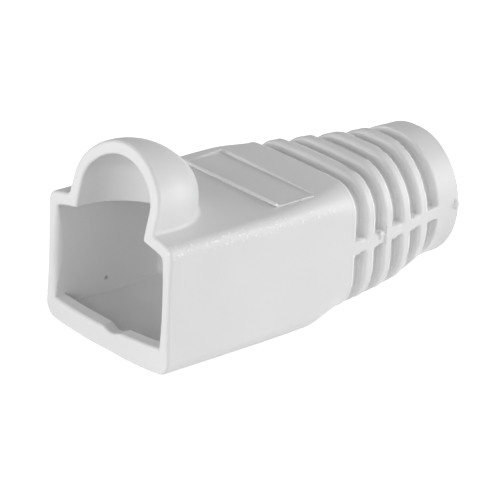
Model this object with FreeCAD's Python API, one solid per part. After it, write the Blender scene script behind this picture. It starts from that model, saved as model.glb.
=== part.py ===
import FreeCAD, Part
import math
import os

# Strain relief boot for an eight-way modular plug: one soft moulding, in millimetres.
# X runs from the mouth to the cable end, Y across, and Z up.
# Heights are built from the corners of the floor lip and moved at the end, so that the
# boot stands on Z = 0 with the middle of its bounding box over the origin.

Vector = FreeCAD.Vector
ALONG = Vector(1.0, 0.0, 0.0)
UP = Vector(0.0, 0.0, 1.0)

# ---- lengths along X ----
body_length = 16.75
rib_count = 4
rib_pitch = 1.98
collar_length = 2.1

# ---- outer section at the mouth ----
mouth_half_width = 6.92
mouth_foot_half_width = 6.96
mouth_top = 7.42
mouth_foot = -1.88
mouth_top_corner = 0.7
mouth_foot_corner = 1.1
mouth_roof_bend = 24.0
mouth_foot_bend = 45.0
mouth_pinch_bend = 32.0
standing_flat_depth = 0.06

# ---- outer section over the rear of the plug cavity ----
full_station = 8.5
full_half_width = 6.84
full_top = 7.78
full_foot = -1.6
full_top_corner = 0.9
full_foot_corner = 1.0
full_roof_bend = 75.0
full_foot_bend = 90.0

# ---- outer section half way on to the neck ----
waist_station = 12.6
waist_half_width = 6.7
waist_top = 8.18
waist_foot = -1.5
waist_top_corner = 1.4
waist_foot_corner = 1.1
waist_roof_bend = 50.0
waist_foot_bend = 200.0

# ---- outer section at the neck, where the tail begins ----
neck_half_width = 6.5
neck_top = 8.18
neck_foot = -1.42
neck_top_corner = 2.2
neck_foot_corner = 3.1
neck_roof_bend = 60.0

# ---- bend of a nearly flat side ----
flat_bend = 300.0

# ---- collar and bore ----
collar_radius = 4.95
collar_corner_share = 0.95
axis_height = 3.87
bore_radius = 3.1

# ---- grooves, side spines and keel of the tail ----
groove_width = 1.15
groove_depth = 0.72
groove_root_slope = 0.12
rib_nose = 0.25
collar_nose = 0.06
lower_groove_drop = 0.5
spine_front_height = 3.72
spine_rear_height = 4.03
spine_front_half = 0.55
spine_rear_half = 0.46
keel_front_half_width = 4.0
keel_rear_half_width = 2.7

# ---- plug cavity ----
plug_half_width = 5.87
cavity_depth = 9.4
cavity_floor = -0.95
cavity_floor_bend = 45.0
cavity_rear_floor = -0.5
cavity_rise_start = 5.2
cavity_ceiling = 6.68
cavity_corner = 0.3
cavity_mouth_roof_bend = 22.0
cavity_roof_bend = 60.0
flare_depth = 0.9
flare_bend = 18.0
throat_radius = 3.7
throat_length = 4.1

# ---- floor lip at the mouth ----
lip_depth = 1.0
lip_corner_height = -0.03
lip_bend = 52.0
lip_rooting = 0.3
lip_notch_width = 2.0
lip_notch_depth = 0.36
lip_notch_offset = -0.5

# ---- latch hood ----
hood_wall = 0.97
hood_half_width = 4.72
hood_back_centre = 1.72
hood_spring = 9.0
hood_apex = 12.74
hood_shoulder_radius = 2.9
hood_lean = 0.25
hood_lean_start = 7.4

# ---- finger pocket in the top ----
pocket_front = 10.6
pocket_rear = 13.95
pocket_half_width = 5.1
pocket_floor = 7.88
pocket_front_slope = 0.45
pocket_rear_slope = 2.0

# ---- edges ----
front_edge = 0.12
collar_edge = 0.22

# ---- worked out from the sizes above ----
collar_front = body_length + rib_count * rib_pitch + groove_width
total_length = collar_front + collar_length
taper_end = collar_front + collar_length / 2
past = 2.0
overrun = 0.03
side_reach = mouth_foot_half_width + past


def blend(first, second, share):
    """Value at a share of the way from the first to the second."""
    return first + share * (second - first)


def circle_meet(first, first_reach, second, second_reach, outward):
    """Point at two given distances from two centres, on the outward or the inward side."""
    dy = second[0] - first[0]
    dz = second[1] - first[1]
    gap = math.hypot(dy, dz)
    along = (first_reach ** 2 - second_reach ** 2 + gap ** 2) / (2 * gap)
    across = math.sqrt(first_reach ** 2 - along ** 2)
    foot_y = first[0] + along * dy / gap
    foot_z = first[1] + along * dz / gap
    left = (foot_y - across * dz / gap, foot_z + across * dy / gap)
    right = (foot_y + across * dz / gap, foot_z - across * dy / gap)
    return max(left, right) if outward else min(left, right)


def touch(centre, radius, other, away):
    """Point of a circle on the line through its centre, towards another centre or away from it."""
    dy = other[0] - centre[0]
    dz = other[1] - centre[1]
    scale = (-radius if away else radius) / math.hypot(dy, dz)
    return (centre[0] + scale * dy, centre[1] + scale * dz)


def mirror(point):
    return (-point[0], point[1])


def short_arc(x, start, centre, radius, end):
    """Arc about a centre from start to end, the short way round, in the plane at x."""
    dy = (start[0] + end[0]) / 2 - centre[0]
    dz = (start[1] + end[1]) / 2 - centre[1]
    scale = radius / math.hypot(dy, dz)
    middle = Vector(x, centre[0] + scale * dy, centre[1] + scale * dz)
    return Part.Arc(Vector(x, *start), middle, Vector(x, *end)).toShape()


def section(x, halves, heights, corners, bends):
    """Closed outline of eight tangent arcs in the plane at x.

    halves, heights and corners are pairs for the top and the foot, and bends are the
    radii of the roof, the foot and the sides. A negative side bend pinches the sides in.
    """
    roof_bend, foot_bend, side_bend = bends
    upper = (halves[0] - corners[0], heights[0] - corners[0])
    lower = (halves[1] - corners[1], heights[1] + corners[1])
    roof_drop = math.sqrt((roof_bend - corners[0]) ** 2 - upper[0] ** 2)
    foot_rise = math.sqrt((foot_bend - corners[1]) ** 2 - lower[0] ** 2)
    roof_centre = (0.0, upper[1] - roof_drop)
    foot_centre = (0.0, lower[1] + foot_rise)
    pinched = side_bend < 0
    side_centre = circle_meet(
        upper, abs(side_bend - corners[0]), lower, abs(side_bend - corners[1]), pinched
    )
    roof_end = touch(upper, corners[0], roof_centre, True)
    side_top = touch(upper, corners[0], side_centre, not pinched)
    side_foot = touch(lower, corners[1], side_centre, not pinched)
    foot_end = touch(lower, corners[1], foot_centre, True)
    side = abs(side_bend)
    right = [
        (roof_end, upper, corners[0], side_top),
        (side_top, side_centre, side, side_foot),
        (side_foot, lower, corners[1], foot_end),
    ]
    edges = [short_arc(x, mirror(roof_end), roof_centre, roof_bend, roof_end)]
    for start, centre, radius, end in right:
        edges.append(short_arc(x, start, centre, radius, end))
    edges.append(short_arc(x, foot_end, foot_centre, foot_bend, mirror(foot_end)))
    for start, centre, radius, end in reversed(right):
        edges.append(short_arc(x, mirror(end), mirror(centre), radius, mirror(start)))
    return Part.Wire(edges)


def body():
    """Body from the mouth over the plug cavity to the neck, with a chamfered front edge."""

    def mouth_section(x, inset):
        return section(
            x, (mouth_half_width - inset, mouth_foot_half_width - inset),
            (mouth_top - inset, mouth_foot + inset),
            (mouth_top_corner - inset, mouth_foot_corner - inset),
            (mouth_roof_bend - inset, mouth_foot_bend - inset, -mouth_pinch_bend - inset),
        )

    front = mouth_section(0.0, front_edge)
    mouth = mouth_section(front_edge, 0.0)
    full = section(
        full_station, (full_half_width, full_half_width), (full_top, full_foot),
        (full_top_corner, full_foot_corner), (full_roof_bend, full_foot_bend, -flat_bend),
    )
    waist = section(
        waist_station, (waist_half_width, waist_half_width), (waist_top, waist_foot),
        (waist_top_corner, waist_foot_corner), (waist_roof_bend, waist_foot_bend, -flat_bend),
    )
    neck = section(
        body_length, (neck_half_width, neck_half_width), (neck_top, neck_foot),
        (neck_top_corner, neck_foot_corner), (neck_roof_bend, flat_bend, -flat_bend),
    )
    return Part.makeLoft([front, mouth, full, waist, neck], True, True)


def tail_section(x, inset):
    """Outline of the tail, blended from the neck to the round collar, smaller all round by inset."""
    share = min((x - body_length) / (taper_end - body_length), 1.0)
    half = blend(neck_half_width, collar_radius, share) - inset
    top = blend(neck_top, axis_height + collar_radius, share) - inset
    foot = blend(neck_foot, axis_height - collar_radius, share) + inset
    round_corner = collar_corner_share * collar_radius
    round_bend = 2 * collar_radius
    corners = (
        blend(neck_top_corner, round_corner, share) - inset,
        blend(neck_foot_corner, round_corner, share) - inset,
    )
    bends = (
        blend(neck_roof_bend, round_bend, share) - inset,
        blend(flat_bend, round_bend, share) - inset,
        blend(flat_bend, round_bend, share) - inset,
    )
    return section(x, (half, half), (top, foot), corners, bends)


def block(low, high):
    """Block wider and longer than the boot, between two heights."""
    size = (total_length + 2 * past, 2 * side_reach, high - low)
    return Part.makeBox(*size, Vector(-past, -side_reach, low))


def prism(corners, direction):
    """Solid swept from a polygon along a direction."""
    return Part.Face(Part.makePolygon(corners + corners[:1])).extrude(direction)


def groove_cutter(front, nose, drop):
    """Cutter for one groove: a square step behind the rib in front, a floor, a wall and a chamfer."""
    rear = front + groove_width
    stations = [
        (front - past, groove_depth),
        (rear - groove_root_slope, groove_depth),
        (rear, nose),
        (rear + nose + overrun, -overrun),
    ]
    core = Part.makeLoft([tail_section(x, inset) for x, inset in stations], True, True)
    length = stations[-1][0] - front
    ring = Part.makeBox(length, 2 * side_reach, 2 * side_reach, Vector(front, -side_reach, -side_reach))
    ring.translate(UP * axis_height)
    cutter = ring.cut(core)
    cutter.translate(UP * -drop)
    return cutter


def beyond_spine(side, limit):
    """Everything on one side of the spines, 1 above and -1 below, as far as a height."""
    run = collar_front - body_length
    slope = (spine_rear_height - spine_front_height) / run
    narrowing = (spine_rear_half - spine_front_half) / run
    corners = []
    for x in (body_length - past, total_length + past):
        half = spine_front_half + narrowing * (x - body_length)
        height = spine_front_height + slope * (x - body_length)
        corners.append(Vector(x, -side_reach, height + side * half))
    corners.append(Vector(total_length + past, -side_reach, limit))
    corners.append(Vector(body_length - past, -side_reach, limit))
    return prism(corners, Vector(0, 2 * side_reach, 0))


def tail():
    """Tapered tail. Upper grooves run over the top, lower ones from the spines to the keel."""
    stations = [body_length, taper_end, total_length]
    shape = Part.makeLoft([tail_section(x, 0.0) for x in stations], True, True)
    rear = [edge for edge in shape.Edges if edge.BoundBox.XMin > total_length - 0.01]
    shape = shape.makeChamfer(collar_edge, rear)
    deep = mouth_foot - 2 * past
    keel = prism(
        [
            Vector(body_length - past, keel_front_half_width, deep),
            Vector(total_length + past, keel_rear_half_width, deep),
            Vector(total_length + past, -keel_rear_half_width, deep),
            Vector(body_length - past, -keel_front_half_width, deep),
        ],
        UP * (axis_height - deep),
    )
    above = beyond_spine(1, hood_apex)
    below = beyond_spine(-1, deep).cut(keel)
    cutters = []
    for number in range(rib_count + 1):
        start = body_length + number * rib_pitch
        nose = collar_nose if number == rib_count else rib_nose
        cutters.append(groove_cutter(start, nose, 0.0).common(above))
        cutters.append(groove_cutter(start, nose, lower_groove_drop).common(below))
    return shape.cut(cutters)


def arch_half(half_width, apex, shoulder, foot):
    """Right half of an arch in the plane x = 0: leg, shoulder arc and crown arc to the middle."""
    inset = half_width - shoulder
    climb = apex - hood_spring
    crown = (climb ** 2 + inset ** 2 - shoulder ** 2) / (2 * (climb - shoulder))
    crown_centre = (0.0, apex - crown)
    shoulder_centre = (inset, hood_spring)
    meeting = touch(shoulder_centre, shoulder, crown_centre, True)
    return [
        Part.makeLine(Vector(0, half_width, foot), Vector(0, half_width, hood_spring)),
        short_arc(0.0, (half_width, hood_spring), shoulder_centre, shoulder, meeting),
        short_arc(0.0, meeting, crown_centre, crown, (0.0, apex)),
    ]


def hood_form(inset, foot):
    """Tunnel of arched section with a round closed back, made smaller all round by an inset."""
    half_width = hood_half_width - inset
    apex = hood_apex - inset
    half = arch_half(half_width, apex, hood_shoulder_radius - inset, foot)
    top = Vector(0, 0, apex)
    base = Vector(0, 0, foot)
    corner = Vector(0, half_width, foot)
    face = Part.Face(Part.Wire(half + [Part.makeLine(top, base), Part.makeLine(base, corner)]))
    back = face.revolve(Vector(0, 0, 0), UP, -180)
    back.translate(ALONG * hood_back_centre)
    side = face.extrude(ALONG * (hood_back_centre + past))
    side.translate(ALONG * -past)
    return back.fuse([side, side.mirror(Vector(0, 0, 0), Vector(0, 1, 0))]).removeSplitter()


def front_trim():
    """Everything in front of the mouth plane, which leans back over the hood."""
    height = hood_apex + past
    lean = hood_lean * (height - hood_lean_start)
    corners = [
        Vector(-2 * past, -side_reach, mouth_foot - past),
        Vector(0.0, -side_reach, mouth_foot - past),
        Vector(0.0, -side_reach, hood_lean_start),
        Vector(lean, -side_reach, height),
        Vector(-2 * past, -side_reach, height),
    ]
    return prism(corners, Vector(0, 2 * side_reach, 0))


def cavity():
    """Plug space with a flared mouth, the round throat behind it and the cable bore."""

    def room_section(x, floor, roof_bend, side_bend):
        half = plug_half_width
        return section(
            x, (half, half), (cavity_ceiling, floor), (cavity_corner, cavity_corner),
            (roof_bend, cavity_floor_bend, side_bend),
        )

    room = Part.makeLoft(
        [
            room_section(-past, cavity_floor, cavity_mouth_roof_bend, flare_bend),
            room_section(0.0, cavity_floor, cavity_mouth_roof_bend, flare_bend),
            room_section(flare_depth, cavity_floor, cavity_mouth_roof_bend, flat_bend),
            room_section(cavity_rise_start, cavity_floor, cavity_roof_bend, flat_bend),
            room_section(cavity_depth, cavity_rear_floor, cavity_roof_bend, flat_bend),
        ],
        True, True,
    )
    middle = Vector(cavity_depth - flare_depth, 0, axis_height)
    throat = Part.makeCone(throat_radius, bore_radius, throat_length + flare_depth, middle, ALONG)
    bore = Part.makeCylinder(bore_radius, total_length, Vector(cavity_depth, 0, axis_height), ALONG)
    return [room, throat, bore]


def lip():
    """Floor lip across the mouth, hollowed along its top, with a round notch near the middle."""
    half = plug_half_width + lip_rooting
    foot = cavity_floor - plug_half_width ** 2 / (2 * cavity_floor_bend) - lip_rooting / 2
    middle_height = lip_corner_height - plug_half_width ** 2 / (2 * lip_bend)
    bar = Part.makeBox(lip_depth, 2 * half, lip_corner_height - foot + lip_rooting, Vector(0, -half, foot))
    hollow = Part.makeCylinder(lip_bend, total_length, Vector(-past, 0, middle_height + lip_bend), ALONG)
    notch_radius = (lip_notch_width ** 2 / 4 + lip_notch_depth ** 2) / (2 * lip_notch_depth)
    notch_centre = Vector(-past, lip_notch_offset, middle_height - lip_notch_depth + notch_radius)
    notch = Part.makeCylinder(notch_radius, total_length, notch_centre, ALONG)
    return bar.cut([hollow, notch])


def pocket():
    """Flat-floored finger pocket in the crowned top. Its front wall is a gentle slope."""
    rise = past
    base = -pocket_half_width
    corners = [
        Vector(pocket_front, base, pocket_floor),
        Vector(pocket_rear, base, pocket_floor),
        Vector(pocket_rear + rise / pocket_rear_slope, base, pocket_floor + rise),
        Vector(pocket_front - rise / pocket_front_slope, base, pocket_floor + rise),
    ]
    return prism(corners, Vector(0, 2 * pocket_half_width, 0))


def build():
    """Whole boot, standing on Z = 0 with the middle of its bounding box over the origin."""
    hood = hood_form(0.0, mouth_top - hood_wall).cut(front_trim())
    crown = mouth_foot - (mouth_foot_half_width - mouth_foot_corner) ** 2 / (2 * mouth_foot_bend)
    below = block(crown - past, crown + standing_flat_depth)
    shell = body().fuse([tail(), hood]).cut(below)
    hollow = hood_form(hood_wall, cavity_ceiling - hood_wall)
    shape = shell.cut(cavity() + [hollow, pocket()])
    shape = shape.fuse(lip()).removeSplitter()
    box = shape.optimalBoundingBox(False)
    shape.translate(Vector(-box.Center.x, -box.Center.y, -box.ZMin))
    return shape


if __name__ == "__main__":
    os.makedirs("parts", exist_ok=True)
    boot = build()
    boot.exportStep("parts/boot.step")
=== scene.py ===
import math

import bpy
import numpy as np
from mathutils import Matrix, Vector


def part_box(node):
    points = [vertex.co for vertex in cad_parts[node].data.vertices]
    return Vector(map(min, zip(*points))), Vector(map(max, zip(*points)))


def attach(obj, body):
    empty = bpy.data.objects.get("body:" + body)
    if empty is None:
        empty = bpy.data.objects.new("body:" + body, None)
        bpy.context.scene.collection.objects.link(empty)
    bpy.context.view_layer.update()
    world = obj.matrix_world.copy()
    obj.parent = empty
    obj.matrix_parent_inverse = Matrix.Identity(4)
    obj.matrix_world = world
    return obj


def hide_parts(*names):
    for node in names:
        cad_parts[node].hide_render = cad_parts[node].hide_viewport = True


bl_info = {
    "name": "Strain relief boot",
    "version": (1, 0, 0),
    "blender": (4, 5, 0),
    "location": "View3D > Sidebar > Boot",
    "description": "Builds the moulded boot of a modular plug and its studio",
    "category": "Add Mesh",
}

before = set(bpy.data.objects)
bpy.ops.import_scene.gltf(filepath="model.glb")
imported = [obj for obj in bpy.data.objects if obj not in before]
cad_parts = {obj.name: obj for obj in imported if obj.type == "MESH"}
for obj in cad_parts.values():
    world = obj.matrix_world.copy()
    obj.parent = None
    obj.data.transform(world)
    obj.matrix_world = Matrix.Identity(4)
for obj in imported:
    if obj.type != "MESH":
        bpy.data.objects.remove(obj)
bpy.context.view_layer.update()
BOX_LOW, BOX_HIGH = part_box("boot")

# The boot is described in millimetres from the middle of its mouth, level with the ends of
# the floor lip: X runs to the cable end and Z up. SHIFT carries that frame to the row's own,
# where the mouth is at the low end of the box and the hood's apex at its top.
MM = 0.001
HOOD_APEX = 12.74
LENGTH = (BOX_HIGH.x - BOX_LOW.x) / MM
SHIFT = np.array([BOX_LOW.x / MM, 0.0, BOX_HIGH.z / MM - HOOD_APEX])
STANDING_LEVEL = -SHIFT[2]
AXIS_HEIGHT = 3.87

# Body: sizes at the mouth, the fullest section, the waist, the neck, partway down the
# taper, the end of the taper and the cable end
NECK = 16.75
TAPER_END = 26.87
STATIONS = (0.0, 8.5, 12.6, NECK, 22.0, TAPER_END, LENGTH)
TOP_HALF_WIDTH = (6.94, 6.86, 6.70, 6.50, 5.70, 4.95, 4.95)
FOOT_HALF_WIDTH = (6.98, 6.84, 6.72, 6.50, 5.74, 4.95, 4.95)
PINCH = (0.16, 0.03, 0.02, 0.0, 0.0, 0.0, 0.0)
FOOT = (-1.88, -1.60, -1.50, -1.42, -1.27, -0.76, -0.70)
FOOT_CORNER = (1.10, 1.0, 1.10, 3.10, 3.65, 4.70, 4.70)
FOOT_CROWN = (0.38, 0.19, 0.08, 0.02, 0.0, 0.0, 0.0)

# Roof: it rises behind the hood, and there it leans a little to one side
ROOF_STATIONS = (0.0, 4.0, 8.5, 10.6, 13.8, NECK, TAPER_END, LENGTH)
TOP = (7.42, 7.60, 7.73, 7.82, 8.06, 8.20, 8.82, 8.82)
TOP_CORNER = (0.70, 0.75, 0.95, 1.00, 1.25, 2.10, 4.70, 4.70)
ROOF_CROWN = (0.80, 0.30, 0.06, 0.02, 0.06, 0.15, 0.0, 0.0)
ROOF_LEAN = (0.0, 0.0, 0.01, 0.012, 0.012, 0.0, 0.0, 0.0)

# The crowns of the roof and the underside come down to nought this far past the place where
# the corners start
CROWN_MARGIN = 0.5


def along(x, values, stations=STATIONS):
    """Smooth course of a size along X.

    Between two stations it is the cubic with the right size and slope at both. The slope at
    a station is the harmonic mean of the straight slopes to either side of it, or nought
    where those differ in sign. The two ends take the slope of the stretch beside them.
    """
    s = np.asarray(stations)
    v = np.asarray(values, float)
    slope = np.zeros(len(v))
    chord = np.diff(v) / np.diff(s)
    same_way = chord[1:] * chord[:-1] > 0
    mean = 2 * chord[1:] * chord[:-1] / np.where(same_way, chord[1:] + chord[:-1], 1.0)
    slope[1:-1] = np.where(same_way, mean, 0.0)
    slope[0] = chord[0]
    slope[-1] = chord[-1]
    i = np.clip(np.searchsorted(s, x) - 1, 0, len(s) - 2)
    width = s[i + 1] - s[i]
    t = np.clip((x - s[i]) / width, 0.0, 1.0)
    t2 = t * t
    t3 = t2 * t
    return (
        (2 * t3 - 3 * t2 + 1) * v[i]
        + (t3 - 2 * t2 + t) * width * slope[i]
        + (3 * t2 - 2 * t3) * v[i + 1]
        + (t3 - t2) * width * slope[i + 1]
    )


def share(value, start, end):
    """How much of the way from start to end a value has come, kept between 0 and 1."""
    return np.clip((value - start) / (end - start), 0.0, 1.0)


def between(ends, part):
    """Size a part of the way from the first end to the second, in a straight line."""
    return ends[0] + (ends[1] - ends[0]) * part


def crowned(height, y, half):
    """Parabola across the width: its full height in the middle, nought at the half width."""
    return height * (1 - (y / half) ** 2)


def bowed(depth, rise):
    """Parabola up a side: its full depth halfway up, nought where the rise is 0 or 1."""
    return depth * 4 * rise * (1 - rise)


def meet(a, b, radius):
    """What lies inside both: the larger distance, with the shared edge rounded to a radius."""
    outside = np.hypot(np.maximum(a + radius, 0.0), np.maximum(b + radius, 0.0))
    return np.minimum(np.maximum(a, b), -radius) + outside


def join(a, b, radius):
    """What lies inside either, with the inner corner between them filleted to a radius."""
    return -meet(-a, -b, radius)


def skin(x, y, z):
    """Distance from the plain outside, before anything is cut or added.

    The half width goes straight from its size at the foot to its size at the roof, less a
    parabola that pinches it halfway up. The roof and the underside are each a height with a
    parabola across the width, and the roof also tilts with Y. The body lies inside all
    four, and each corner is rounded to its radius.
    """
    top = along(x, TOP, ROOF_STATIONS) + along(x, ROOF_LEAN, ROOF_STATIONS) * y
    foot = along(x, FOOT)
    top_half = along(x, TOP_HALF_WIDTH)
    foot_half = along(x, FOOT_HALF_WIDTH)
    top_corner = along(x, TOP_CORNER, ROOF_STATIONS)
    foot_corner = along(x, FOOT_CORNER)
    roof_crown = along(x, ROOF_CROWN, ROOF_STATIONS)
    foot_crown = along(x, FOOT_CROWN)
    rise = share(z, foot, top)
    half = between((foot_half, top_half), rise) - bowed(along(x, PINCH), rise)
    side = np.abs(y) - half
    roof = z - top - crowned(roof_crown, y, top_half - top_corner + CROWN_MARGIN)
    floor = foot - crowned(foot_crown, y, foot_half - foot_corner + CROWN_MARGIN) - z
    return np.maximum(meet(side, roof, top_corner), meet(side, floor, foot_corner))


# Grooves of the tail. Each has an upper and a lower half, with the spine between them, and
# the lower half ends at the keel. Pairs give a size where the spine starts and where it ends.
GROOVE_DEPTH = 0.72
GROOVE_WIDTH = 1.15
RIB_PITCH = 1.98
RIB_NOSES = (0.30, 0.30, 0.30, 0.30, 0.10)
STEP_EDGE = 0.05
ROOT_FILLET = 0.15
UPPER_LEDGE_FILLET = 0.12
LOWER_LEDGE_FILLET = 0.05
LOWER_DROP = 0.5
SPINE_RUN = (NECK, 25.8)
SPINE_MIDDLE = (3.72, 4.03)
SPINE_HALF = (0.55, 0.46)
KEEL_HALF = (4.85, 3.8)
KEEL_FILLET = 0.8

# Fine raised rim just ahead of each groove
RIM_HEIGHT = 0.035
RIM_WIDTH = 0.11
RIM_SETBACK = 0.06
RIM_FADE = 0.3


def tail_cuts(x, y, z, distance):
    """Skin with the grooves cut, upper ones over the top and lower ones from spine to keel.

    A groove is the space that lies within its width along X, beyond the spine, and no
    deeper under the skin than its depth. A lower one is measured from the skin moved down,
    so it is shallow underneath. The rim ahead of a groove is a bell curve along X, and it
    fades out towards the spine. The nose of a rib is its front edge, which is rounded more
    than the step behind it.
    """
    part = share(x, *SPINE_RUN)
    middle = between(SPINE_MIDDLE, part)
    half = between(SPINE_HALF, part)
    keel = between(KEEL_HALF, part)
    lowered = skin(x, y, z + LOWER_DROP)
    off_spine = share(np.abs(z - middle) - half, 0.0, RIM_FADE)
    result = distance
    for number, nose in enumerate(RIB_NOSES):
        start = NECK + number * RIB_PITCH
        slot = np.abs(x - start - GROOVE_WIDTH / 2) - GROOVE_WIDTH / 2
        upper = meet(-(distance + GROOVE_DEPTH), middle + half - z, UPPER_LEDGE_FILLET)
        lower = meet(-(lowered + GROOVE_DEPTH), z - middle + half, LOWER_LEDGE_FILLET)
        upper = meet(upper, slot, ROOT_FILLET)
        lower = meet(meet(lower, slot, ROOT_FILLET), keel - np.abs(y), KEEL_FILLET)
        rim = np.exp(-(((start - RIM_SETBACK - x) / RIM_WIDTH) ** 2))
        result = result - RIM_HEIGHT * off_spine * rim
        edge = np.where(x > start + GROOVE_WIDTH / 2, nose, STEP_EDGE)
        result = meet(result, -np.minimum(upper, lower), edge)
    return result


# Latch hood. Its front leans back above a height, and the lean sets in over a blend.
HOOD_WALL = 0.97
HOOD_HALF = 4.72
HOOD_BACK = 1.72
HOOD_FOOT = 6.2
HOOD_SPRING = 9.0
HOOD_SHOULDER = 2.9
HOOD_FILLET = 0.25
HOOD_LEAN = 0.25
LEAN_START = 7.4
LEAN_BLEND = 0.4


def arch(x, y, z, inset):
    """Distance from a tunnel with an arched roof, moved in by an inset.

    Its section has upright sides up to the spring line, then an arc of the shoulder's
    radius, and over the middle one wide arc that touches both shoulders and the apex. The
    section runs straight along X, and at the back it is turned round an upright axis.
    """
    half = HOOD_HALF - inset
    apex = HOOD_APEX - inset
    shoulder = HOOD_SHOULDER - inset
    reach = half - shoulder
    climb = apex - HOOD_SPRING
    crown = (climb**2 + reach**2 - shoulder**2) / (2 * (climb - shoulder))
    out = np.hypot(np.maximum(x - HOOD_BACK, 0.0), y)
    beyond = (out - reach) * (HOOD_SPRING - apex + crown) > (z - HOOD_SPRING) * reach
    round_side = np.where(
        z < HOOD_SPRING, out - half, np.hypot(out - reach, z - HOOD_SPRING) - shoulder
    )
    return np.where(beyond, round_side, np.hypot(out, z - apex + crown) - crown)


# Finger pocket: a flat facet, flush with the roof in front and sunk into it behind, where
# its wall slopes back. REAR_TRUE makes a true distance of the one along X.
POCKET_START = 10.56
POCKET_END = 13.95
POCKET_HALF = 5.08
POCKET_FLOOR = 7.90
FACET_DEPTH = 0.6
POCKET_CORNER = 0.12
POCKET_FILLET = 0.05
POCKET_EDGE = 0.07
REAR_SLOPE = 0.45
REAR_TRUE = 0.91

# Beads raised along the pocket's front and its near side. The near one has a middle and a
# half length along X, and it splays outwards.
BEAD_RADIUS = 0.07
BEAD_FILLET = 0.03
FRONT_BEAD_EXTRA = 0.06
FRONT_BEAD_LIFT = 0.02
NEAR_BEAD_MIDDLE = 12.1
NEAR_BEAD_HALF = 1.5
NEAR_BEAD_SPLAY = 0.08
NEAR_BEAD_LIFT = 0.01


def with_pocket(x, y, z, distance):
    """Body with the pocket: filled up to its flat floor, cut away above it, and beaded.

    The fill and the cut are boxes with rounded edges. A bead is the distance from a
    straight line less its radius: one line crosses the pocket's front, and one follows
    its near side along the skin.
    """
    sides = np.abs(y) - POCKET_HALF
    before = POCKET_START - x
    around = meet(np.maximum(before, x - POCKET_END), sides, POCKET_CORNER)
    fill = meet(around, z - POCKET_FLOOR, POCKET_FILLET)
    fill = np.maximum(fill, POCKET_FLOOR - FACET_DEPTH - z)
    behind = (x - POCKET_END - REAR_SLOPE * (z - POCKET_FLOOR)) * REAR_TRUE
    around = meet(np.maximum(before, behind), sides, POCKET_CORNER)
    cut = meet(around, POCKET_FLOOR - z, POCKET_FILLET)
    body = meet(np.minimum(distance, fill), -cut, POCKET_EDGE)
    front = np.hypot(x - POCKET_START, np.maximum(sides, 0.0))
    front = np.hypot(front, z - POCKET_FLOOR - FRONT_BEAD_LIFT) - FRONT_BEAD_EXTRA
    splay = NEAR_BEAD_SPLAY * (x - POCKET_START)
    past_end = np.maximum(np.abs(x - NEAR_BEAD_MIDDLE) - NEAR_BEAD_HALF, 0.0)
    near = np.hypot(y + POCKET_HALF + splay, past_end)
    near = np.hypot(near, distance - NEAR_BEAD_LIFT)
    return join(body, np.minimum(front, near) - BEAD_RADIUS, BEAD_FILLET)


# Plug space: the room, with its flare at the mouth
PLUG_HALF = 5.87
ROOM_DEPTH = 9.4
ROOM_STATIONS = (0.0, 0.9, 5.2, ROOM_DEPTH)
ROOM_MARGIN = 0.3
ROOM_FLOOR = (-0.95, -0.95, -0.95, -0.50)
FLOOR_CROWN = 0.345
FLOOR_CORNER = 0.1
CEILING = 6.68
CEILING_CROWN = (0.70, 0.70, 0.27, 0.26)
CEILING_CORNER = 0.25
REAR_CORNER = 0.4
FLARE = 0.14
FLARE_DEPTH = 0.6
FLARE_FOOT = -0.05

# Floor lip: it bends up to both sides, slopes and leans, and has a round notch
LIP_DEPTH = 1.0
LIP_MIDDLE = -0.36
LIP_BEND = 52.0
LIP_SLOPE = 0.16
LIP_LEAN = -0.03
LIP_EDGE = 0.12
LIP_FILLET = 0.05
NOTCH_MIDDLE = -0.5
NOTCH_RADIUS = 1.57
NOTCH_DEPTH = 0.36

# Throat and bore, and the hollow under the hood
THROAT_RUN = (8.5, 13.5)
THROAT_RADIUS = (3.7, 3.1)
THROAT_FILLET = 0.25
HOLLOW_FOOT = 5.5
HOLLOW_FILLET = 0.12


def plug_space(x, y, z):
    """Distance from the hollow inside the boot.

    The room is a box with a parabola across its ceiling and its floor, and at the mouth its
    sides flare by a parabola that shrinks evenly with depth. The lip is what stands under a
    parabola across the width, tilted with depth and with Y, less a notch that is part of a
    circle. The throat is round the bore's axis, and its radius goes straight from one size
    to the other. The hollow under the hood is the hood's own arch, moved in by the wall.
    """
    half = PLUG_HALF - ROOM_MARGIN
    ceiling = CEILING + crowned(along(x, CEILING_CROWN, ROOM_STATIONS), y, half)
    floor = along(x, ROOM_FLOOR, ROOM_STATIONS) - crowned(FLOOR_CROWN, y, half)
    rise = share(z, FLARE_FOOT, CEILING)
    bow = bowed(FLARE, rise) - np.maximum(x, 0.0) * FLARE / FLARE_DEPTH
    side = np.abs(y) - PLUG_HALF - np.maximum(bow, 0.0)
    upper = meet(side, z - ceiling, CEILING_CORNER)
    lower = meet(side, floor - z, FLOOR_CORNER)
    room = meet(np.maximum(upper, lower), x - ROOM_DEPTH, REAR_CORNER)
    lip_top = LIP_MIDDLE + y**2 / (2 * LIP_BEND) + LIP_SLOPE * (x - LIP_DEPTH) + LIP_LEAN * y
    across = share(np.abs(y - NOTCH_MIDDLE), 0.0, NOTCH_RADIUS)
    notch = LIP_MIDDLE - NOTCH_DEPTH + NOTCH_RADIUS * (1 - np.sqrt(1 - across**2))
    lip = meet(meet(z - lip_top, z - notch, LIP_EDGE), x - LIP_DEPTH, LIP_EDGE)
    room = meet(room, -lip, LIP_FILLET)
    radius = between(THROAT_RADIUS, share(x, *THROAT_RUN))
    throat = np.maximum(np.hypot(y, z - AXIS_HEIGHT) - radius, THROAT_RUN[0] - x)
    room = join(room, throat, THROAT_FILLET)
    hollow = np.maximum(arch(x, y, z, HOOD_WALL), HOLLOW_FOOT - z)
    return join(room, hollow, HOLLOW_FILLET)


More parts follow.
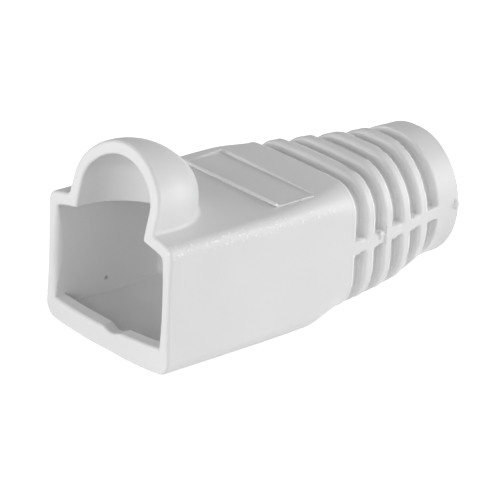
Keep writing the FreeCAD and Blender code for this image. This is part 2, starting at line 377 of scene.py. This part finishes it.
# Edges of the moulding. The mouth's edge widens to the lead-in halfway up one side.
END_EDGE = 0.15
STANDING_EDGE = 0.05
FRONT_EDGE = 0.22
MOUTH_EDGE = 0.2
LEAD_IN = 0.36
LEAD_IN_FOOT = -0.2
LEAD_IN_SIDE = 4.9
LEAD_IN_FADE = 0.6
LEAD_IN_REACH = 3.0

# Lumps left on the near side's parting line: place along X and Z, and reach. Elsewhere the
# distance is CLEAR, which adds nothing.
LUMPS = ((27.62, 4.30, 0.23), (19.38, 4.12, 0.18), (20.02, 3.72, 0.20), (20.05, 4.40, 0.14))
LUMP_SQUEEZE = 0.6
LUMP_FILLET = 0.05
CLEAR = 1.0


def boot_distance(points):
    """Signed distance from the whole moulding, in millimetres, at rows of x, y and z.

    The grooved skin gains its lumps, each a ball about a point on the skin, drawn out up
    and down. It is cut square at the cable end and flat where it stands, gets the pocket
    and the hood, and is cut off by the front face. That is upright at first and then leans
    back, by half the lean times the sum of the height above its start and the root of that
    height squared plus the blend squared. The plug space is taken out last.
    """
    x, y, z = points[..., 0], points[..., 1], points[..., 2]
    outside = skin(x, y, z)
    body = tail_cuts(x, y, z, outside)
    for lump_x, lump_z, reach in LUMPS:
        lump = np.hypot(np.hypot(x - lump_x, LUMP_SQUEEZE * (z - lump_z)), outside) - reach
        body = join(body, np.where(y < 0, lump, CLEAR), LUMP_FILLET)
    body = meet(meet(body, x - LENGTH, END_EDGE), STANDING_LEVEL - z, STANDING_EDGE)
    body = with_pocket(x, y, z, body)
    hood = np.maximum(arch(x, y, z, 0.0), HOOD_FOOT - z)
    body = join(body, hood, HOOD_FILLET)
    over = z - LEAN_START
    lean = HOOD_LEAN * 0.5 * (over + np.hypot(over, LEAN_BLEND))
    front = (lean - x) / math.hypot(1.0, HOOD_LEAN)
    body = meet(body, front, FRONT_EDGE)
    rise = share(z, LEAD_IN_FOOT, CEILING)
    by_side = share(y - LEAD_IN_SIDE, 0.0, LEAD_IN_FADE) * (x < LEAD_IN_REACH)
    edge = MOUTH_EDGE + bowed((LEAD_IN - MOUTH_EDGE) * by_side, rise)
    return meet(body, -plug_space(x, y, z), edge)


# Lattice for the skin: a start, and then each run's end and step. A run whose step is None
# takes the one that the user sets. Lines lie close at the mouth, at both ends of the pocket,
# along the ribs, at the cable end, and along the pocket's sides and roof.
LATTICE_X = (
    -0.31,
    (1.6, 0.08),
    (10.3, 0.25),
    (10.8, 0.06),
    (13.6, 0.2),
    (14.2, 0.08),
    (NECK - 0.2, 0.25),
    (25.95, 0.095),
    (LENGTH - 0.5, 0.25),
    (LENGTH + 0.19, 0.08),
)
LATTICE_Y = (-7.31, (-5.36, None), (-4.82, 0.06), (4.84, None), (5.36, 0.09), (7.31, None))
LATTICE_Z = (-2.61, (7.0, None), (8.2, 0.1), (13.01, None))

# How points slide to the surface: the number of slides, the longest one, the least squared
# slope that a distance is divided by, and the small step that a slope is taken from. A normal
# shorter than the shortest is left short.
SLIDES = 4
LONGEST_SLIDE = 0.08
LEAST_SLOPE = 0.05
SLOPE_REACH = 0.01
SHORTEST_NORMAL = 1e-6


def spacing(runs, usual):
    """Lattice lines along one axis: each run is cut evenly into steps near its own."""
    lines = [runs[0]]
    for end, step in runs[1:]:
        count = max(1, round((end - lines[-1]) / (step or usual)))
        lines.extend(np.linspace(lines[-1], end, count + 1)[1:])
    return np.array(lines)


def zero_surface(distance, xs, ys, zs):
    """Skin of a solid on a lattice of three sets of lines.

    Each lattice cell that the surface crosses gets one point, at the mean of the places
    where its edges cross. Four cells around each crossed edge share a four-sided face. The
    points then slide down the distance's own slope until the distance is nought.
    """
    grid = np.stack(np.meshgrid(xs, ys, zs, indexing="ij"), -1)
    value = distance(grid)
    inside = value < 0
    shape = tuple(n - 1 for n in value.shape)
    corners = [(i, j, k) for i in (0, 1) for j in (0, 1) for k in (0, 1)]

    def corner(array, c):
        """Values at one corner of every cell."""
        return array[c[0] : c[0] + shape[0], c[1] : c[1] + shape[1], c[2] : c[2] + shape[2]]

    filled = sum(corner(inside, c).astype(int) for c in corners)
    crossed = (filled > 0) & (filled < len(corners))
    number = np.full(shape, -1)
    number[crossed] = np.arange(crossed.sum())
    total = np.zeros((crossed.sum(), 3))
    count = np.zeros(crossed.sum())
    for a in corners:
        for axis in range(3):
            if a[axis]:
                continue
            b = tuple(1 if n == axis else a[n] for n in range(3))
            va, vb = corner(value, a)[crossed], corner(value, b)[crossed]
            cut = (va < 0) != (vb < 0)
            part = np.where(cut, va / np.where(cut, va - vb, 1.0), 0.0)[:, None]
            place = corner(grid, a)[crossed] * (1 - part) + corner(grid, b)[crossed] * part
            total += place * cut[:, None]
            count += cut
    points = total / count[:, None]
    faces = []
    for axis in range(3):
        u, v = (axis + 1) % 3, (axis + 2) % 3
        low = [slice(1, -1)] * 3
        high = [slice(1, -1)] * 3
        low[axis] = slice(0, -1)
        high[axis] = slice(1, None)
        start, end = inside[tuple(low)], inside[tuple(high)]
        at = np.argwhere(start != end)
        out = start[start != end]
        cell = at + np.array([0 if n == axis else 1 for n in range(3)])
        steps = []
        for du, dv in ((1, 1), (0, 1), (0, 0), (1, 0)):
            back = np.zeros(3, int)
            back[u], back[v] = du, dv
            steps.append(number[tuple((cell - back).T)])
        quad = np.stack(steps, 1)
        quad[~out] = quad[~out][:, ::-1]
        faces.append(quad)
    faces = np.concatenate(faces)
    for _ in range(SLIDES):
        value, slope = gradient(distance, points)
        step = value[:, None] * slope / np.maximum((slope**2).sum(1), LEAST_SLOPE)[:, None]
        points -= np.clip(step, -LONGEST_SLIDE, LONGEST_SLIDE)
    return points, faces, gradient(distance, points)[1]


def gradient(distance, points):
    """Distance and its slope along the three axes, from small steps to either side."""
    slope = np.zeros_like(points)
    for axis in range(3):
        step = np.zeros(3)
        step[axis] = SLOPE_REACH
        slope[:, axis] = (distance(points + step) - distance(points - step)) / (2 * SLOPE_REACH)
    return distance(points), slope


def in_row(point):
    """A place on the boot, in millimetres, as a place in metres in the row's frame."""
    return [(a + b) * MM for a, b in zip(point, SHIFT)]


def finished_mesh(name, points, faces, slope):
    """Mesh object in the row frame, its shading taken from the slope of the distance."""
    mesh = bpy.data.meshes.new(name)
    place = (points + SHIFT) * MM
    mesh.vertices.add(len(place))
    mesh.vertices.foreach_set("co", place.astype(np.float32).ravel())
    mesh.loops.add(faces.size)
    mesh.loops.foreach_set("vertex_index", faces.ravel().astype(np.int32))
    mesh.polygons.add(len(faces))
    starts = np.arange(0, faces.size, faces.shape[1], dtype=np.int32)
    mesh.polygons.foreach_set("loop_start", starts)
    mesh.update(calc_edges=True)
    mesh.polygons.foreach_set("use_smooth", np.ones(len(faces), bool))
    normals = slope / np.maximum(np.linalg.norm(slope, axis=1), SHORTEST_NORMAL)[:, None]
    mesh.normals_split_custom_set_from_vertices(normals.astype(np.float32))
    mesh.validate()
    obj = bpy.data.objects.new(name, mesh)
    bpy.context.scene.collection.objects.link(obj)
    return obj


def new_material(name):
    """Material with nodes, and with it its node tree and its shader."""
    material = bpy.data.materials.new(name)
    material.use_nodes = True
    return material, material.node_tree, material.node_tree.nodes["Principled BSDF"]


def feed(tree, socket, value):
    """Give an input its value, which is another socket or a plain number or colour."""
    if isinstance(value, bpy.types.NodeSocket):
        tree.links.new(value, socket)
    else:
        socket.default_value = value


def ramp(tree, source, start, end, low=0.0, high=1.0):
    """Socket that goes straight from low to high while its source goes from start to end."""
    node = tree.nodes.new("ShaderNodeMapRange")
    node.inputs["From Min"].default_value = start
    node.inputs["From Max"].default_value = end
    node.inputs["To Min"].default_value = low
    node.inputs["To Max"].default_value = high
    tree.links.new(source, node.inputs["Value"])
    return node.outputs["Result"]


def math_of(tree, operation, *values):
    """Socket of one math step whose inputs are other sockets or plain numbers."""
    node = tree.nodes.new("ShaderNodeMath")
    node.operation = operation
    for place, value in enumerate(values):
        feed(tree, node.inputs[place], value)
    return node.outputs["Value"]


def within(tree, mask, *limits):
    """Mask times one ramp for each limit: its source, and where it is 0 and where it is 1."""
    for source, none, full in limits:
        mask = math_of(tree, "MULTIPLY", mask, ramp(tree, source, none, full))
    return mask


def noise(tree, place, scale, detail):
    """Socket of a cloudy pattern at a place, with its scale in waves per metre."""
    node = tree.nodes.new("ShaderNodeTexNoise")
    node.inputs["Scale"].default_value = scale
    node.inputs["Detail"].default_value = detail
    tree.links.new(place, node.inputs["Vector"])
    return node.outputs["Fac"]


def mixed(tree, factor, first, second):
    """Socket that goes from the first colour to the second as a factor goes from 0 to 1."""
    node = tree.nodes.new("ShaderNodeMix")
    node.data_type = "RGBA"
    for name, value in (("Factor", factor), ("A", first), ("B", second)):
        feed(tree, node.inputs[name], value)
    return node.outputs["Result"]


def relief(tree, height, strength, depth):
    """Bump node whose relief follows a height, to a depth in metres."""
    node = tree.nodes.new("ShaderNodeBump")
    node.inputs["Strength"].default_value = strength
    node.inputs["Distance"].default_value = depth
    tree.links.new(height, node.inputs["Height"])
    return node


# Finish of the PVC: tone, satin grain, and a dark speck on the far wall of the plug space.
# Scales are in waves per metre, depths and reaches in metres.
PVC_IOR = 1.5
PVC_SPECULAR = 0.5
TONE_SCALE = 260.0
TONE_DETAIL = 3.0
TONE_RANGE = (0.97, 1.03)
GRAIN_SCALE = 6000.0
GRAIN_DETAIL = 2.0
GRAIN_ROUGHNESS = (0.36, 0.50)
GRAIN_STRENGTH = 0.35
GRAIN_DEPTH = 0.00002
SPECK = (4.5, 5.9, 0.15)
SPECK_SHADE = 0.4
SPECK_REACH = (0.00005, 0.00022)

# Painted highlights on the PVC: a pale colour painted on glints along the top side edges,
# on the bead at the pocket's front and on the rear edges of the ribs. Each pair says where a
# mask is 0 and where it is 1: for the glints at a level of the noise, and otherwise in metres
# in the row's frame.
HIGHLIGHT_COLOUR = (0.95, 0.95, 0.95, 1.0)
GLINT_SCALE = 4200.0
GLINT_DETAIL = 2.0
GLINT_LEVEL = (0.57, 0.66)
GLINT_SIDE = (0.0062, 0.0066)
GLINT_HEIGHT = (0.0088, 0.0092)
GLINT_END = (0.002, -0.002)
GLINT_STRENGTH = 0.7
GLINT_DEPTH = 0.00003
BEAD_HIGHLIGHT_REACH = (0.00018, 0.00010)
BEAD_HIGHLIGHT_HEIGHT = (0.01003, 0.01008)
RIB_HIGHLIGHT_REACH = (0.00013, 0.00006)
RIB_HIGHLIGHT_SETBACK = 0.04
RIB_END = (0.0004, 0.0003)
OFF_SPINE = (0.0005, 0.0007)
OFF_BORE = (0.0037, 0.0040)


def off_speck(tree, place):
    """Mask from the distance to the dark speck: 0 on the speck and 1 away from it."""
    node = tree.nodes.new("ShaderNodeVectorMath")
    node.operation = "DISTANCE"
    node.inputs[1].default_value = in_row(SPECK)
    tree.links.new(place, node.inputs[0])
    return ramp(tree, node.outputs["Value"], *SPECK_REACH)


def bead_highlight(tree, x, z):
    """Painted highlight on the pocket's front bead: a mask near it along X, and high enough."""
    off_bead = math_of(tree, "SUBTRACT", x, (POCKET_START + SHIFT[0]) * MM)
    off_bead = math_of(tree, "ABSOLUTE", off_bead)
    return within(tree, ramp(tree, off_bead, *BEAD_HIGHLIGHT_REACH), (z, *BEAD_HIGHLIGHT_HEIGHT))


def rib_edge_highlight(tree, x, across, z):
    """Mask of the painted highlight on the rear edges of the neck and ribs, clear of spine and
    bore.

    The distance to the nearest edge along X goes up and down once each pitch. The distance
    off the axis is the root of the two squares, across and up.
    """
    first = (NECK - RIB_HIGHLIGHT_SETBACK + SHIFT[0]) * MM
    last = first + (len(RIB_NOSES) - 1) * RIB_PITCH * MM
    off_edge = math_of(tree, "SUBTRACT", x, first)
    off_edge = math_of(tree, "PINGPONG", off_edge, RIB_PITCH / 2 * MM)
    off_spine = math_of(tree, "SUBTRACT", z, (AXIS_HEIGHT + SHIFT[2]) * MM)
    off_spine = math_of(tree, "ABSOLUTE", off_spine)
    squares = [math_of(tree, "POWER", side, 2.0) for side in (across, off_spine)]
    off_axis = math_of(tree, "SQRT", math_of(tree, "ADD", *squares))
    return within(
        tree,
        ramp(tree, off_edge, *RIB_HIGHLIGHT_REACH),
        (x, first - RIB_END[0], first - RIB_END[1]),
        (x, last + RIB_END[0], last + RIB_END[1]),
        (off_spine, *OFF_SPINE),
        (off_axis, *OFF_BORE),
    )


def moulded_pvc(settings):
    """Soft grey PVC: satin, with an eroded grain, a slightly uneven tone and painted highlights
    on edges.
    """
    material, tree, shader = new_material("moulded_pvc")
    shader.inputs["IOR"].default_value = PVC_IOR
    shader.inputs["Specular IOR Level"].default_value = PVC_SPECULAR
    place = tree.nodes.new("ShaderNodeTexCoord").outputs["Object"]
    axes = tree.nodes.new("ShaderNodeSeparateXYZ")
    tree.links.new(place, axes.inputs[0])
    x, y, z = (axes.outputs[name] for name in "XYZ")
    across = math_of(tree, "ABSOLUTE", y)

    plain = np.array(settings.plastic_colour[:])
    darker, lighter = ((*np.minimum(plain * part, 1.0), 1.0) for part in TONE_RANGE)
    tone = mixed(tree, noise(tree, place, TONE_SCALE, TONE_DETAIL), darker, lighter)
    tone = mixed(tree, off_speck(tree, place), (*(plain * SPECK_SHADE), 1.0), tone)

    grain = noise(tree, place, GRAIN_SCALE, GRAIN_DETAIL)
    roughness = ramp(tree, grain, 0.0, 1.0, *GRAIN_ROUGHNESS)
    tree.links.new(roughness, shader.inputs["Roughness"])

    # Painted glints: noise spots along the top side edges, painted paler and also bumped, stand
    # for a lamp's sparkling highlight
    glint_spots = within(
        tree,
        ramp(tree, noise(tree, place, GLINT_SCALE, GLINT_DETAIL), *GLINT_LEVEL),
        (across, *GLINT_SIDE),
        (z, *GLINT_HEIGHT),
        (x, *GLINT_END),
    )
    # Painted highlights: the glints, the pocket's front bead and the ribs' rear edges are painted
    # paler
    painted_highlight = math_of(tree, "MAXIMUM", glint_spots, bead_highlight(tree, x, z))
    painted_highlight = math_of(tree, "MAXIMUM", painted_highlight, rib_edge_highlight(tree, x, across, z))
    tree.links.new(mixed(tree, painted_highlight, tone, HIGHLIGHT_COLOUR), shader.inputs["Base Color"])

    fine = relief(tree, grain, GRAIN_STRENGTH, GRAIN_DEPTH)
    coarse = relief(tree, glint_spots, GLINT_STRENGTH, GLINT_DEPTH)
    tree.links.new(fine.outputs["Normal"], coarse.inputs["Normal"])
    tree.links.new(coarse.outputs["Normal"], shader.inputs["Normal"])
    return material


class BootSettings(bpy.types.PropertyGroup):
    """Sizes and colours of the boot that a user may change."""

    plastic_colour: bpy.props.FloatVectorProperty(
        name="Plastic colour",
        description="Colour of the PVC",
        subtype="COLOR",
        size=3,
        default=(0.76, 0.76, 0.76),
        min=0.0,
        max=1.0,
    )
    mesh_step: bpy.props.FloatProperty(
        name="Mesh step",
        description="Spacing of the skin's points across the boot",
        default=0.00022,
        min=0.0001,
        unit="LENGTH",
    )


class OBJECT_OT_boot(bpy.types.Operator):
    """Build the moulded boot over its CAD solid"""

    bl_idname = "object.build_boot"
    bl_label = "Build boot"

    def execute(self, context):
        settings = context.scene.boot_settings
        step = settings.mesh_step / MM
        lines = [spacing(runs, step) for runs in (LATTICE_X, LATTICE_Y, LATTICE_Z)]
        points, faces, slope = zero_surface(boot_distance, *lines)
        boot = finished_mesh("boot_skin", points, faces, slope)
        boot.data.materials.append(moulded_pvc(settings))
        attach(boot, "root")
        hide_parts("boot")
        return {"FINISHED"}


# Studio, in metres and watts. Each lamp has a name, a place, a width and height, and a power.
WHITE = (1.0, 1.0, 1.0, 1.0)
WORLD_LIGHT = 0.305
FLOOR_REACH = 3.0
FLOOR_COLOUR = (0.9, 0.9, 0.9, 1.0)
FLOOR_ROUGHNESS = 0.9
FLOOR_GLOW = 0.74
LAMP_TARGET = (0.0, 0.0, 0.006)
LAMPS = (
    ("front_low", (-0.36, -0.10, 0.03), (0.5, 0.10), 0.18),
    ("front_high", (-0.34, -0.10, 0.10), (0.5, 0.12), 0.46),
    ("front_far", (-0.30, 0.22, 0.04), (0.3, 0.12), 0.45),
    ("side_box", (0.28, -0.20, 0.14), (0.26, 0.22), 0.81),
    ("side_high", (0.0, -0.30, 0.30), (0.3, 0.3), 0.16),
)

# Camera: sensor and lens in millimetres, turn, height and roll in degrees, distance in
# metres, and the place on the boot that it looks at
SENSOR_WIDTH = 36.0
LENS = 275.2
CLIP_START = 0.01
CAMERA_ANGLES = (-40.18, 21.882, 2.537)
CAMERA_DISTANCE = 0.26797
CAMERA_AIM = (12.0, -0.804, 2.827)


def white_floor():
    """Paper floor that shows white to the camera and keeps a soft contact shadow."""
    material, tree, shader = new_material("paper_floor")
    shader.inputs["Base Color"].default_value = FLOOR_COLOUR
    shader.inputs["Roughness"].default_value = FLOOR_ROUGHNESS
    shader.inputs["Specular IOR Level"].default_value = 0.0
    rays = tree.nodes.new("ShaderNodeLightPath").outputs
    seen = math_of(tree, "MAXIMUM", rays["Is Camera Ray"], rays["Is Glossy Ray"])
    seen = math_of(tree, "MAXIMUM", seen, rays["Is Transmission Ray"])
    glow = math_of(tree, "MULTIPLY", seen, FLOOR_GLOW)
    shader.inputs["Emission Color"].default_value = WHITE
    tree.links.new(glow, shader.inputs["Emission Strength"])
    return material


def pale_world():
    """Surroundings that show white to the camera and light the boot more weakly."""
    world = bpy.data.worlds.new("studio")
    world.use_nodes = True
    tree = world.node_tree
    sky = tree.nodes["Background"]
    sky.inputs["Color"].default_value = WHITE
    rays = tree.nodes.new("ShaderNodeLightPath").outputs
    seen = math_of(tree, "MAXIMUM", rays["Is Camera Ray"], rays["Is Transmission Ray"])
    tree.links.new(ramp(tree, seen, 0.0, 1.0, WORLD_LIGHT, 1.0), sky.inputs["Strength"])
    return world


def area_lamp(name, place, size, power):
    """Soft box of a width and height at a place, aimed at the boot."""
    data = bpy.data.lights.new(name, "AREA")
    data.shape = "RECTANGLE"
    data.size, data.size_y = size
    data.energy = power
    lamp = bpy.data.objects.new(name, data)
    lamp.location = place
    aim = Vector(LAMP_TARGET) - Vector(place)
    lamp.rotation_euler = aim.to_track_quat("-Z", "Y").to_euler()
    bpy.context.scene.collection.objects.link(lamp)


def studio_camera():
    """Camera at its distance from the aim.

    It stands to the front and is turned round the upright axis, raised by its height angle,
    and last rolled about its own line of sight.
    """
    data = bpy.data.cameras.new("camera")
    data.sensor_width = SENSOR_WIDTH
    data.lens = LENS
    data.clip_start = CLIP_START
    camera = bpy.data.objects.new("camera", data)
    bpy.context.scene.collection.objects.link(camera)
    turn, height, roll = (math.radians(a) for a in CAMERA_ANGLES)
    back = Vector(
        (math.sin(turn) * math.cos(height), -math.cos(turn) * math.cos(height), math.sin(height))
    )
    level = Vector((math.cos(turn), math.sin(turn), 0.0))
    upright = back.cross(level)
    right = level * math.cos(roll) + upright * math.sin(roll)
    up = upright * math.cos(roll) - level * math.sin(roll)
    place = Vector(in_row(CAMERA_AIM)) + back * CAMERA_DISTANCE
    turned = Matrix((right, up, back)).transposed().to_4x4()
    camera.matrix_world = Matrix.Translation(place) @ turned
    return camera


class OBJECT_OT_studio(bpy.types.Operator):
    """Build the floor, lamps, world and camera"""

    bl_idname = "object.build_studio"
    bl_label = "Build studio"

    def execute(self, context):
        mesh = bpy.data.meshes.new("floor")
        reach = FLOOR_REACH
        corners = [(-reach, -reach, 0), (reach, -reach, 0), (reach, reach, 0), (-reach, reach, 0)]
        mesh.from_pydata(corners, [], [(0, 1, 2, 3)])
        mesh.materials.append(white_floor())
        floor = bpy.data.objects.new("floor", mesh)
        context.scene.collection.objects.link(floor)

        context.scene.world = pale_world()
        for lamp in LAMPS:
            area_lamp(*lamp)
        context.scene.camera = studio_camera()
        context.scene.view_settings.view_transform = "Standard"
        return {"FINISHED"}


class VIEW3D_PT_boot(bpy.types.Panel):
    """Sidebar panel of the boot's operators and settings."""

    bl_label = "Strain relief boot"
    bl_space_type = "VIEW_3D"
    bl_region_type = "UI"
    bl_category = "Boot"

    def draw(self, context):
        layout = self.layout
        settings = context.scene.boot_settings
        layout.prop(settings, "plastic_colour")
        layout.prop(settings, "mesh_step")
        layout.operator("object.build_boot")
        layout.operator("object.build_studio")


CLASSES = (BootSettings, OBJECT_OT_boot, OBJECT_OT_studio, VIEW3D_PT_boot)


def register():
    for cls in CLASSES:
        bpy.utils.register_class(cls)
    bpy.types.Scene.boot_settings = bpy.props.PointerProperty(type=BootSettings)


def unregister():
    del bpy.types.Scene.boot_settings
    for cls in reversed(CLASSES):
        bpy.utils.unregister_class(cls)


def main():
    register()
    bpy.ops.object.build_boot()
    bpy.ops.object.build_studio()


if __name__ == "__main__":
    main()
